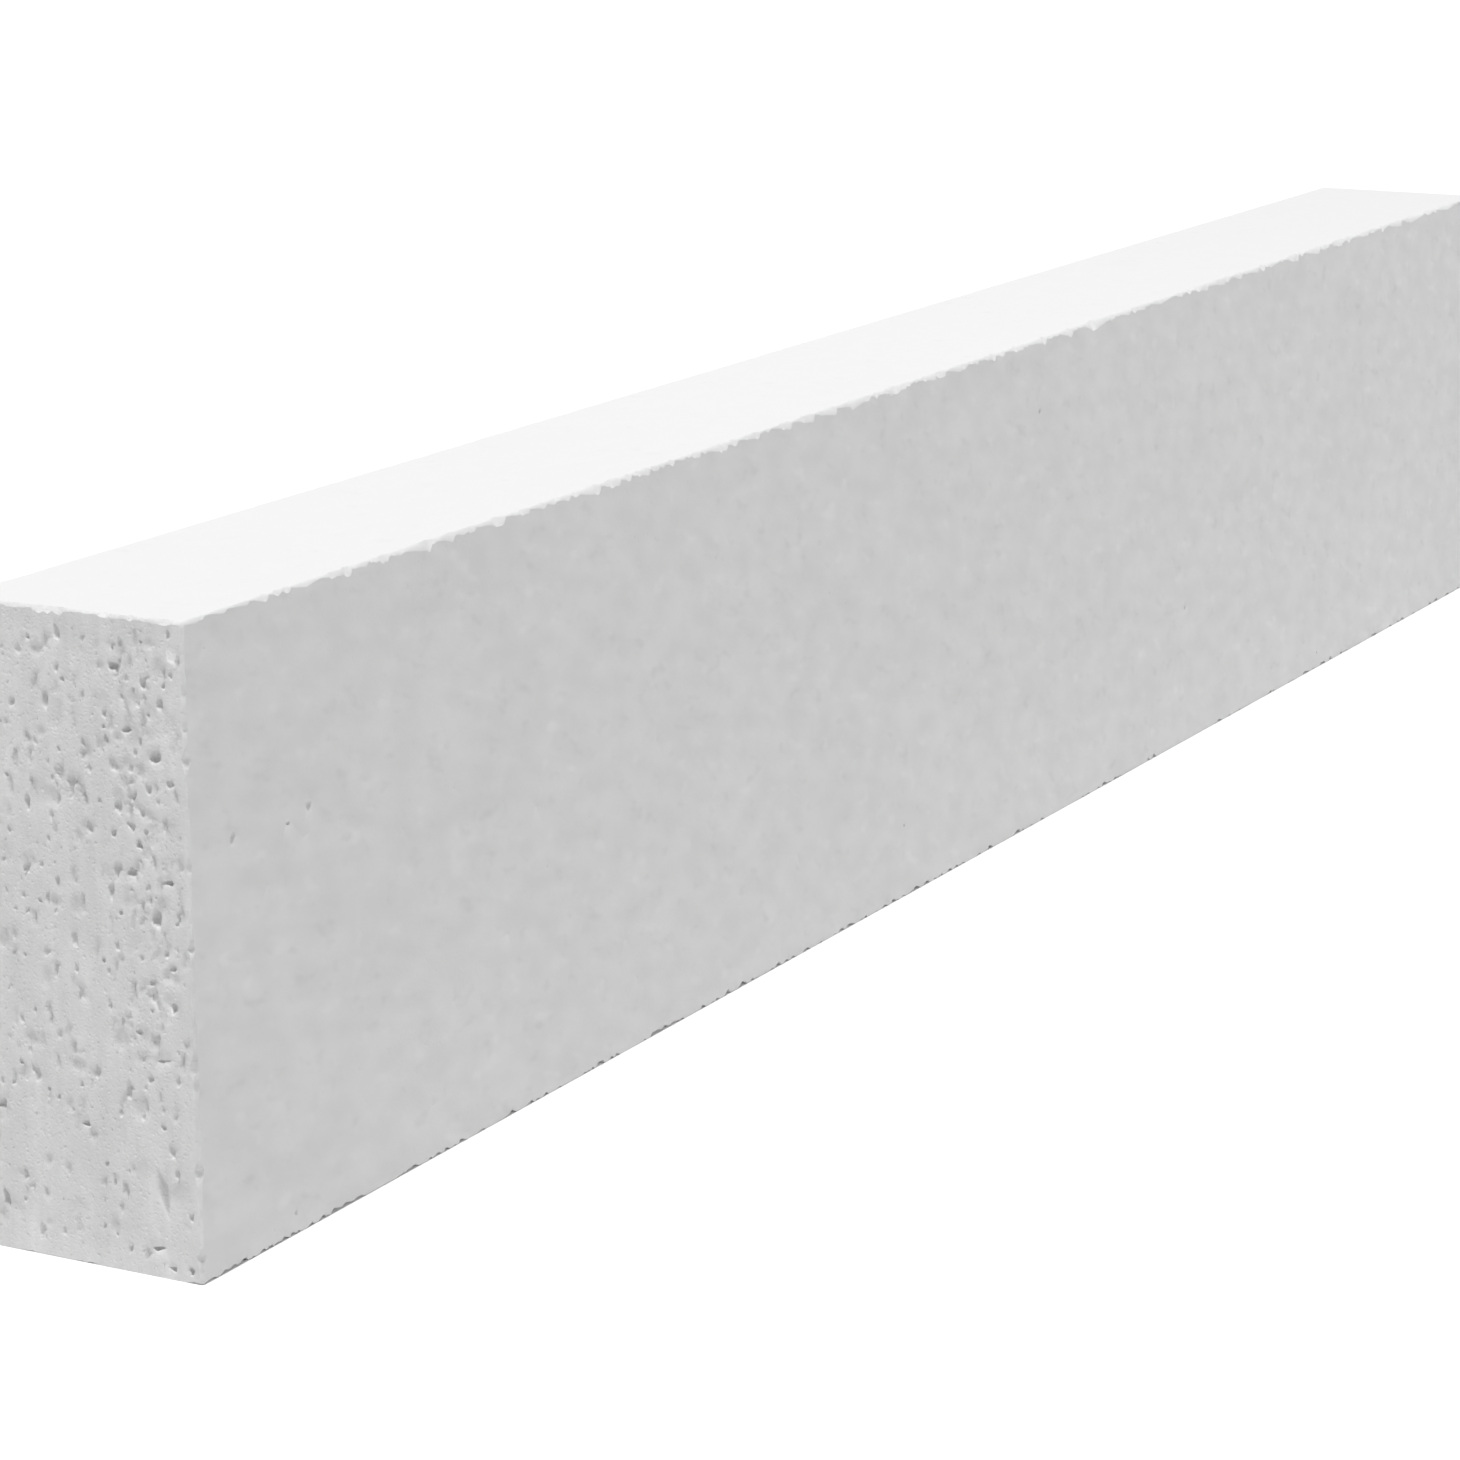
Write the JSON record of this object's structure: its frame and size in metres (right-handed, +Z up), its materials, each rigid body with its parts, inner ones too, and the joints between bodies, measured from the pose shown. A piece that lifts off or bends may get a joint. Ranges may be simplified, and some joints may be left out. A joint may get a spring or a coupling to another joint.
{
  "type": "aerated concrete lintel",
  "caption": "Plain rectangular bar of pale aerated concrete that spans a door or window opening in a thin block wall and carries the courses laid on top of it.",
  "frame": {"origin": "centre of the underside, midway along the length and across the width", "axes": "+X along the length, +Y across the wall, +Z up"},
  "size_m": [1.4, 0.1, 0.249],
  "materials": {
    "aerated_concrete": "dry matt pale grey, smooth on the long faces and open-pored on the sawn ends"
  },
  "bodies": {
    "root": {"lintel": "aerated_concrete"}
  },
  "joints": []
}
